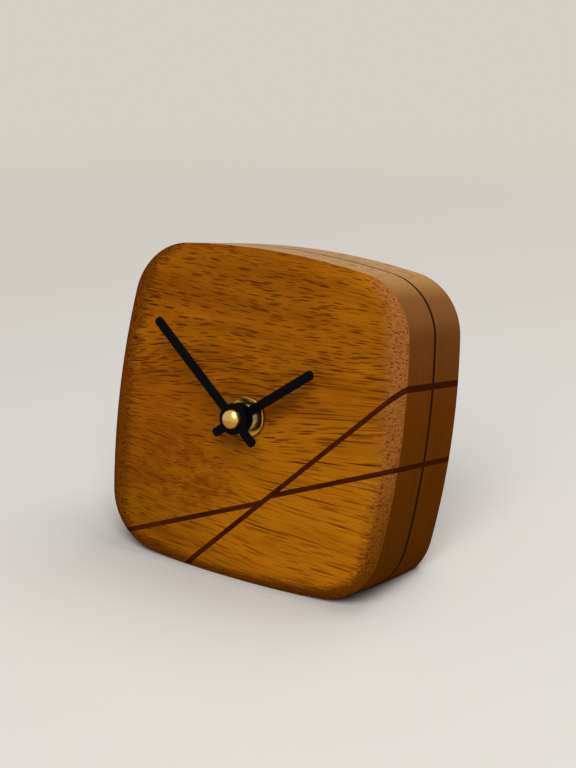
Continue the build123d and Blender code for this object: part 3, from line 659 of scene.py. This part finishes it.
def link(name, bm):
    """A mesh object made from bmesh data, smooth but for its sharp edges."""
    mesh = bpy.data.meshes.new(name)
    bm.to_mesh(mesh)
    bm.free()
    normals = mesh.attributes.get("custom_normal")
    if normals:
        mesh.attributes.remove(normals)
    mesh.shade_smooth()
    mesh.set_sharp_from_angle(angle=SMOOTH_ANGLE)
    piece = bpy.data.objects.new(name, mesh)
    bpy.context.scene.collection.objects.link(piece)
    return piece


def mount(piece, body, slot, *nodes):
    """Makes a piece ride on a body and stand for nodes, which it hides. The slot is not used."""
    if nodes:
        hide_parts(*nodes)
    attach(piece, body)


def dress(piece, *materials):
    """Gives a piece its materials in place of those it has."""
    piece.data.materials.clear()
    for material in materials:
        piece.data.materials.append(material)


def dress_nodes(material, *nodes):
    """Gives CAD nodes a material."""
    for node in nodes:
        dress(frame["nodes"][node], material)


def eased(name, node, width, shape=None):
    """A copy of a node whose sharp edges are eased. A shape changes the copy first."""
    bm = bmesh.new()
    bm.from_mesh(frame["nodes"][node].data)
    bmesh.ops.remove_doubles(bm, verts=bm.verts, dist=WELD)
    bmesh.ops.dissolve_limit(bm, angle_limit=FLAT_ANGLE, verts=bm.verts, edges=bm.edges)
    if shape:
        shape(bm)
    sharp = [edge for edge in bm.edges if edge.is_manifold and edge.calc_face_angle() > EASED_ANGLE]
    bmesh.ops.bevel(
        bm, geom=sharp, offset=width, segments=2, profile=0.5, affect="EDGES", clamp_overlap=True
    )
    return link(name, bm)


def turned(name, rings, centre, axis, side, segments, shape=None, closed=False):
    """A solid turned from pairs of radius and height. A shape changes a radius with the turn."""
    bm = bmesh.new()
    up = axis.cross(side)
    rows = []
    for radius, height in rings:
        row = []
        for step in range(segments if radius else 1):
            turn = step / segments
            angle = math.tau * turn
            spoke = side * math.cos(angle) + up * math.sin(angle)
            swing = shape(radius, height, turn) if shape else radius
            row.append(bm.verts.new(centre + axis * height + spoke * swing))
        rows.append(row)
    pairs = list(zip(rows, rows[1:]))
    if closed:
        pairs.append((rows[-1], rows[0]))
    for first, second in pairs:
        for step in range(segments):
            after = step + 1
            corners = [
                first[step % len(first)],
                first[after % len(first)],
                second[after % len(second)],
                second[step % len(second)],
            ]
            bm.faces.new(list(dict.fromkeys(corners)))
    bmesh.ops.recalc_face_normals(bm, faces=bm.faces)
    return link(name, bm)


def raised(name, outlines, centre, height):
    """Marks on a back, from outlines seen from behind, sunk into it as deep as they stand out."""
    bm = bmesh.new()
    for outline in outlines:
        flat = [centre - RIGHT * x + RISE * y for x, y in outline]
        foot = [bm.verts.new(point - INWARD * height) for point in flat]
        head = [bm.verts.new(point + INWARD * height) for point in flat]
        bm.faces.new(foot[::-1])
        bm.faces.new(head)
        for step in range(len(outline)):
            after = (step + 1) % len(outline)
            bm.faces.new([foot[step], foot[after], head[after], head[step]])
    bmesh.ops.recalc_face_normals(bm, faces=bm.faces)
    return link(name, bm)


def bar(x, y, width, height):
    """Outline of a bar about a point."""
    corners = ((-1, -1), (1, -1), (1, 1), (-1, 1))
    return [(x + across * width / 2, y + up * height / 2) for across, up in corners]


def plus(x, y, size, stroke):
    """Outlines of a plus sign about a point: a bar with a stub above it and one below."""
    stub = (size - stroke) / 2
    away = (size + stroke) / 4
    return [bar(x, y, size, stroke), bar(x, y + away, stroke, stub), bar(x, y - away, stroke, stub)]


def polar(radius, angle):
    """A point at a radius and an angle."""
    return radius * math.cos(angle), radius * math.sin(angle)


def arc_arrow(radius, width, start, sweep, head):
    """Outline of a curved arrow that starts at an angle and sweeps on, in degrees."""
    steps = 16
    angles = [math.radians(start + sweep * step / steps) for step in range(steps + 1)]
    outer = [polar(radius + width / 2, angle) for angle in angles]
    inner = [polar(radius - width / 2, angle) for angle in angles]
    last = angles[-1]
    ahead = last + math.copysign(1.6 * head / radius, sweep)
    barb = [polar(radius + head, last), polar(radius, ahead), polar(radius - head, last)]
    return outer + barb + inner[::-1]


def knob_marks():
    """Outlines of two arrows that chase each other round the setting knob."""
    radius = 3.6 * MM
    width = 0.7 * MM
    head = 1.0 * MM
    sweep = 100
    return [arc_arrow(radius, width, start, sweep, head) for start in (20, 200)]


def pole_signs():
    """Outlines of a plus and a minus above the ends of the cell."""
    size = 3.4 * MM
    stroke = 0.8 * MM
    from_middle = reach("battery", RIGHT, SHAFT)[1] - 4 * MM
    above_cell = reach("battery", RISE, SHAFT)[1] + 4.5 * MM
    minus = bar(from_middle, above_cell, size, stroke)
    return [*plus(-from_middle, above_cell, size, stroke), minus]


def quarter_turn(steps):
    """Sine and cosine at steps over a quarter of a turn."""
    angles = [0.5 * math.pi * step / steps for step in range(steps + 1)]
    return [(math.sin(angle), math.cos(angle)) for angle in angles]


def strip_line(node):
    """Direction in which an inlaid strip runs, from its farthest points."""
    flat = [Vector((offset.dot(RIGHT), offset.dot(RISE))) for offset in offsets(node, SHAFT)]
    run = (max(flat, key=sum) - min(flat, key=sum)).normalized()
    return RIGHT * run.x + RISE * run.y


class ClockBody(Operator):
    """Finish the sawn boards, the veneers and the inlaid strips"""

    bl_idname = "clock.body"
    bl_label = "Wooden body"

    def execute(self, context):
        wood = context.scene.clock_wood
        for board, seed in BOARD_SEEDS.items():
            boards = [f"{board}_board_{part}" for part in QUARTERS]
            dress_nodes(WoodFinish(f"{board}_wood", wood, seed).paint(), *boards)
        veneers = [f"seam_veneer_{part}" for part in QUARTERS]
        dress_nodes(strip_finish("veneer_wood", wood, RIGHT, wood.veneer), *veneers)
        strips = [node for node in frame["nodes"] if "strip" in node]
        for node in strips:
            dress_nodes(strip_finish(f"{node}_wood", wood, strip_line(node), wood.strip), node)
        return {"FINISHED"}


def square_ends(bm):
    """Fills out the corners of a hand's round ends, and keeps its length and width."""
    fullness = 2.9
    flat = {vertex: square_to(INWARD, vertex.co - SHAFT) for vertex in bm.verts}
    longest = max(offset.length for offset in flat.values())
    tip = [offset for offset in flat.values() if offset.length > 0.9 * longest]
    along = sum(tip, Vector()).normalized()
    cross = along.cross(INWARD)
    runs = [offset.dot(along) for offset in flat.values()]
    half = max(abs(offset.dot(cross)) for offset in flat.values() if offset.dot(along) > 0.5 * longest)
    for end in (max(runs), min(runs)):
        side = math.copysign(1, end)
        for vertex, offset in flat.items():
            run = 1 + side * (offset.dot(along) - end) / half
            width = offset.dot(cross) / half
            if run > 0:
                corner = (run**fullness + abs(width) ** fullness) ** (1 / fullness)
                growth = math.hypot(run, width) / corner - 1
                vertex.co += (along * side * run + cross * width) * half * growth


class ClockHands(Operator):
    """Square the ends of both hands, ease their edges and lacquer them black"""

    bl_idname = "clock.hands"
    bl_label = "Hands"

    def execute(self, context):
        fittings = context.scene.clock_fittings
        black = moulded_finish("hand_lacquer", fittings.black, roughness=0.5, grain=0.004, gloss=0.03)
        for node, body in (("hour_hand", "hour_works"), ("minute_hand", "minute_works")):
            piece = eased(f"{node}_eased", node, fittings.hand_edge, square_ends)
            dress(piece, black)
            mount(piece, body, "hand_black", node)
        return {"FINISHED"}


def cap_profile(radius, foot, top):
    """Radius and height of a domed cap nut with a fine lip at its foot."""
    lip = 0.12 * MM
    neck = radius - lip / 2
    dome = radius - lip / 4
    shoulder = foot + 0.42 * (top - foot)
    rings = [(0, foot), (radius - lip, foot), (radius, foot + lip), (radius, shoulder - 3 * lip)]
    rings += [(neck, shoulder - 2 * lip), (neck, shoulder - lip)]
    for sine, cosine in quarter_turn(14)[:-1]:
        rings.append((dome * cosine, shoulder + (top - shoulder) * sine))
    return [*rings, (0, top)]


def nut_profile(radius, bore, top):
    """Radius and height of a round nut whose rim is rounded over."""
    round_over = 0.42 * MM
    foot_edge = 0.12 * MM
    mouth = 0.30 * MM
    rings = [(bore, foot_edge), (bore + foot_edge, 0), (radius - foot_edge, 0), (radius, foot_edge)]
    for sine, cosine in quarter_turn(8):
        rings.append((radius - round_over * (1 - cosine), top - round_over * (1 - sine)))
    return [*rings, (bore + mouth, top), (bore, top - mouth)]


def threaded_bush(fittings, radius, nut_top):
    """The bush with turns of thread where it stands out of the nut."""
    hidden = 0.6 * MM
    chamfer = 0.3 * MM
    steps = 44
    bore = fittings.bush_bore
    back, front = reach("threaded_bush", OUTWARD, SHAFT)
    flange_radius = turned_radius("threaded_bush")
    flange_front = back + fittings.bush_flange
    start = nut_top - hidden

    def thread(swing, height, turn):
        """Radius of the thread at a height and a turn."""
        if swing < radius or height <= start or height >= front:
            return swing
        phase = (height / fittings.thread_pitch + turn) % 1
        return swing - fittings.thread_depth * abs(2 * phase - 1)

    rings = [(bore, back), (flange_radius, back), (flange_radius, flange_front), (radius, flange_front)]
    rings += [(radius, start + (front - chamfer - start) * step / steps) for step in range(steps + 1)]
    rings += [(radius - fittings.thread_depth - chamfer, front), (bore, front)]
    return turned("threaded_bush_cut", rings, SHAFT, OUTWARD, RIGHT, fittings.segments, thread, closed=True)


class ClockBrass(Operator):
    """Turn the cap nut, the mounting nut and the threaded bush in brass"""

    bl_idname = "clock.brass"
    bl_label = "Brass fittings"

    def execute(self, context):
        fittings = context.scene.clock_fittings
        segments = fittings.segments
        dress_nodes(metal_finish("polished_brass", fittings.brass, roughness=0.16, rings=0.25), "minute_pipe")

        rings = cap_profile(turned_radius("cap_nut"), *reach("cap_nut", OUTWARD, SHAFT))
        cap = turned("cap_nut_turned", rings, SHAFT, OUTWARD, RIGHT, segments)
        # The cap gets the painted brown reflection on its lower half.
        dress(cap, metal_finish("cap_brass", fittings.brass, roughness=0.28, rings=0.15, painted_reflection=0.9))
        mount(cap, "minute_works", "brass", "cap_nut")

        bush_front = reach("threaded_bush", OUTWARD, SHAFT)[1]
        bush_radius = turned_radius("threaded_bush", height=bush_front)
        nut_top = reach("mounting_nut", OUTWARD, SHAFT)[1]
        rings = nut_profile(turned_radius("mounting_nut"), bush_radius, nut_top)
        nut = turned("mounting_nut_turned", rings, SHAFT, OUTWARD, RIGHT, segments, closed=True)
        # The nut and the bush get their darker brasses, which carry painted shade.
        dress(nut, metal_finish("shaded_nut_brass", fittings.shaded_nut_brass, roughness=0.2, rings=0.08))
        mount(nut, "clock_body", "brass", "mounting_nut")

        bush = threaded_bush(fittings, bush_radius, nut_top)
        dress(bush, metal_finish("dull_shaded_bush_brass", fittings.dull_shaded_bush_brass, roughness=0.2, rings=0.08))
        mount(bush, "clock_body", "brass", "threaded_bush")
        return {"FINISHED"}


def rim(inner, width, height):
    """Radius and height of a low rim with a rounded top, sunk a little into what carries it."""
    return [
        (inner, -height),
        (inner + width, -height),
        (inner + width, 0.5 * height),
        (inner + 0.7 * width, height),
        (inner + 0.3 * width, height),
        (inner, 0.5 * height),
    ]


def panel_shape(swing, height, turn):
    """Reach of a bare panel's border at a turn: a rectangle with rounded corners."""
    half_width = 13 * MM
    half_height = 8 * MM
    fullness = 9
    across = abs(math.cos(math.tau * turn)) / half_width
    upward = abs(math.sin(math.tau * turn)) / half_height
    return swing * (across**fullness + upward**fullness) ** (-1 / fullness)


class ClockCase(Operator):
    """Ease the setting knob, and raise the moulded marks on it and on the movement's case"""

    bl_idname = "clock.case"
    bl_label = "Movement case"

    def execute(self, context):
        movement = context.scene.clock_movement
        height = movement.mark_height
        plastic = moulded_finish("case_moulded", movement.case, roughness=0.46)
        dress_nodes(plastic, "movement_front_shell", "movement_rear_shell")
        dress_nodes(moulded_finish("washer_rubber", movement.rubber, roughness=0.75), "rubber_washer")
        knob_middle = middle("setting_knob")
        knob_radius = turned_radius("setting_knob", knob_middle)
        knob_back = knob_middle + INWARD * reach("setting_knob", INWARD, knob_middle)[1]
        case_back = SHAFT + INWARD * reach("movement_rear_shell", INWARD, SHAFT)[1]
        knob_foot = knob_middle - INWARD * (knob_middle - case_back).dot(INWARD)

        knob = eased("setting_knob_eased", "setting_knob", movement.knob_edge)
        marks = raised("knob_arrows", knob_marks(), knob_back, height)
        poles = raised("case_poles", pole_signs(), case_back, height)
        ring_gap = 1.2 * MM
        ring_width = 0.6 * MM
        rings = rim(knob_radius + ring_gap, ring_width, height)
        guard = turned("knob_ring", rings, knob_foot, INWARD, RIGHT, FACETS, closed=True)
        border_share = 0.05
        panel_gap = 20 * MM
        beside_knob = knob_foot - RIGHT * (knob_radius + panel_gap)
        rings = rim(1.0, border_share, height)
        panel = turned(
            "case_panel", rings, beside_knob, INWARD, RIGHT, PANEL_FACETS, panel_shape, closed=True
        )

        for piece in (knob, marks, poles, guard, panel):
            dress(piece, plastic)
        mount(knob, "setting_works", "case_plastic", "setting_knob")
        mount(marks, "setting_works", "case_plastic")
        for piece in (poles, guard, panel):
            mount(piece, "clock_body", "case_plastic")
        return {"FINISHED"}


class ClockTrain(Operator):
    """Finish the wheels, the bridge, the arbors and the clutch"""

    bl_idname = "clock.train"
    bl_label = "Gear train"

    def execute(self, context):
        movement = context.scene.clock_movement
        wheels = [node for node in frame["nodes"] if node.endswith("_wheel")]
        dress_nodes(moulded_finish("wheel_moulded", movement.wheel, roughness=0.36), *wheels)
        grey = moulded_finish("bridge_moulded", movement.bridge, roughness=0.45)
        dress_nodes(grey, "train_bridge", "coil_bobbin")
        steel = metal_finish("drawn_steel", movement.steel, roughness=0.26, rings=0.3)
        dress_nodes(steel, "clutch_spring", "rotor_pinion", "setting_arbor")
        return {"FINISHED"}


class ClockMotor(Operator):
    """Finish the motor, the coil and the circuit"""

    bl_idname = "clock.motor"
    bl_label = "Motor and circuit"

    def execute(self, context):
        movement = context.scene.clock_movement
        iron = metal_finish("core_iron", movement.iron, roughness=0.42, rings=0.4)
        dress_nodes(iron, "stator", "coil_core")
        dress_nodes(metal_finish("rotor_magnet", movement.magnet, roughness=0.5, rings=0.3), "rotor_magnet")
        dress_nodes(winding_finish("copper_winding", movement.copper), "coil_winding")
        dress_nodes(moulded_finish("board_resin", movement.resin, roughness=0.35), "circuit_board")
        dress_nodes(moulded_finish("chip_resin", movement.chip, roughness=0.55), "circuit_chip")
        dress_nodes(metal_finish("can_metal", movement.can, roughness=0.28), "quartz_crystal")
        return {"FINISHED"}


def cell_profile(radius, half):
    """Radius and height of a cell: crimped sleeve, flat foot and a nub at the positive end."""
    foot_radius = 3.2 * MM
    foot_edge = 3.5 * MM
    foot_height = -half + 0.1 * MM
    groove = -half + 0.3 * MM
    crimp = 0.45 * MM
    steps = 5
    shoulder = half - 1.0 * MM
    recess = shoulder - 0.25 * MM
    collar_foot = 3.3 * MM
    collar = 3.0 * MM
    nub = 2.75 * MM
    nub_edge = 0.25 * MM

    rings = [(0, foot_height), (foot_radius, foot_height), (foot_edge, groove)]
    rings += [(radius - 3 * crimp, groove), (radius - 2 * crimp, -half)]
    for sine, cosine in quarter_turn(steps):
        rings.append((radius - crimp * (1 - sine), -half + crimp * (1 - cosine)))
    for sine, cosine in quarter_turn(steps):
        rings.append((radius - crimp * (1 - cosine), shoulder - crimp * (1 - sine)))
    rings += [(radius - 2 * crimp, shoulder), (radius - 2.4 * crimp, recess)]
    rings += [(collar_foot, recess), (collar, shoulder), (nub, shoulder + 0.1 * MM)]
    rings += [(nub, half - nub_edge), (nub - nub_edge, half), (0, half)]
    return rings


class ClockCell(Operator):
    """Turn the cell with its sleeve and finish both contacts"""

    bl_idname = "clock.cell"
    bl_label = "Cell and contacts"

    def execute(self, context):
        movement = context.scene.clock_movement
        sleeve_lap = 0.5 * MM
        nickel = metal_finish("nickel", movement.nickel, roughness=0.24, rings=0.2)
        dress_nodes(nickel, "contact_positive", "contact_negative")
        centre = middle("battery")
        half = reach("battery", RIGHT, centre)[1]
        radius = reach("battery", RISE, centre)[1]
        cell = turned("battery_turned", cell_profile(radius, half), centre, RIGHT, RISE, FACETS)
        dress(cell, sleeve_finish("cell_sleeve", movement, centre, half), nickel)
        for face in cell.data.polygons:
            if square_to(RIGHT, face.center - centre).length < radius - sleeve_lap:
                face.material_index = 1
        mount(cell, "cell", "cell_jacket", "battery")
        return {"FINISHED"}


class ClockSet(Operator):
    """Lay the floor, hang the lights and place the camera"""

    bl_idname = "clock.stage"
    bl_label = "Stage"

    def execute(self, context):
        stage = context.scene.clock_stage
        self.lay_floor(stage)
        self.light_world(context.scene, stage)
        self.hang_light("key_light", stage.key, stage.key_place, stage.key_size)
        self.hang_light("fill_light", stage.fill, stage.fill_place, stage.fill_size)
        self.place_camera(context.scene, stage)
        context.scene.view_settings.view_transform = "Standard"
        return {"FINISHED"}

    def lay_floor(self, stage):
        """A wide disc under the clock, which fades into the background."""
        fade_start = 0.14
        fade_end = 0.65
        bm = bmesh.new()
        bmesh.ops.create_circle(bm, cap_ends=True, segments=FACETS, radius=stage.floor_radius)
        floor = link("floor", bm)
        finish = Finish("floor_plain")
        cloud = finish.noise(finish.place(), scale=6.0)
        finish.set(Base_Color=finish.scale(stage.floor, 0.98 + 0.04 * cloud), Roughness=0.7)
        far_off = finish.node("ShaderNodeVectorMath", {"operation": "LENGTH"}, {0: finish.place()}, "Value")
        seen = finish.looked_at() * far_off.rising(fade_start, fade_end)
        glow = finish.node("ShaderNodeEmission", None, {"Color": stage.wall})
        both = finish.node("ShaderNodeMixShader", None, {0: seen, 1: finish.lit, 2: glow})
        dress(floor, finish.done(both))

    def light_world(self, scene, stage):
        """Soft white light from all round, and a pale background for what is seen or mirrored."""
        world = bpy.data.worlds.new("studio")
        world.use_nodes = True
        scene.world = world
        nodes = Nodes(world.node_tree)
        ambient = nodes.node("ShaderNodeBackground", None, {"Color": (1, 1, 1), "Strength": stage.ambient})
        shown = nodes.node("ShaderNodeBackground", None, {"Color": stage.wall})
        both = nodes.node("ShaderNodeMixShader", None, {0: nodes.looked_at(), 1: ambient, 2: shown})
        nodes.node("ShaderNodeOutputWorld", None, {"Surface": both})

    def hang_light(self, name, watts, place, size):
        """A square area light that looks at the clock."""
        light = bpy.data.lights.new(name, "AREA")
        light.energy = watts
        light.size = size
        lamp = bpy.data.objects.new(name, light)
        lamp.location = place
        lamp.rotation_mode = "QUATERNION"
        lamp.rotation_quaternion = (SHAFT - lamp.location).to_track_quat("-Z", "Y")
        bpy.context.scene.collection.objects.link(lamp)

    def place_camera(self, scene, stage):
        """The photo's view."""
        camera = bpy.data.cameras.new("camera")
        camera.lens = stage.camera_lens
        camera.sensor_width = 36
        camera.clip_start = 0.01
        camera.clip_end = 20
        holder = bpy.data.objects.new("camera", camera)
        yaw = stage.camera_yaw
        level = math.cos(stage.camera_pitch)
        look = Vector((-math.sin(yaw) * level, math.cos(yaw) * level, -math.sin(stage.camera_pitch)))
        holder.location = stage.camera_place
        holder.rotation_mode = "QUATERNION"
        holder.rotation_quaternion = look.to_track_quat("-Z", "Y")
        scene.collection.objects.link(holder)
        scene.camera = holder


STEPS = (ClockBody, ClockHands, ClockBrass, ClockCase, ClockTrain, ClockMotor, ClockCell, ClockSet)
GROUPS = {
    "clock_wood": ClockWood,
    "clock_fittings": ClockFittings,
    "clock_movement": ClockMovement,
    "clock_stage": ClockStage,
}


class VIEW3D_PT_clock(Panel):
    """Lists the steps and their settings"""

    bl_label = "Desk clock"
    bl_space_type = "VIEW_3D"
    bl_region_type = "UI"
    bl_category = "Clock"

    def draw(self, context):
        """A box of settings for each group, and a button for each step."""
        for name, group in GROUPS.items():
            box = self.layout.box()
            for setting in group.__annotations__:
                box.prop(getattr(context.scene, name), setting)
        for step in STEPS:
            self.layout.operator(step.bl_idname)


CLASSES = (*GROUPS.values(), *STEPS, VIEW3D_PT_clock)


def register():
    """Adds the classes, and a group of settings of each kind to the scene."""
    for kind in CLASSES:
        bpy.utils.register_class(kind)
    for name, group in GROUPS.items():
        setattr(bpy.types.Scene, name, PointerProperty(type=group))


def unregister():
    """Takes out what register adds."""
    for name in GROUPS:
        delattr(bpy.types.Scene, name)
    for kind in reversed(CLASSES):
        bpy.utils.unregister_class(kind)


def main():
    """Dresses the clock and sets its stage."""
    register()
    bpy.ops.clock.body()
    bpy.ops.clock.hands()
    bpy.ops.clock.brass()
    bpy.ops.clock.case()
    bpy.ops.clock.train()
    bpy.ops.clock.motor()
    bpy.ops.clock.cell()
    bpy.ops.clock.stage()


if __name__ == "__main__":
    main()
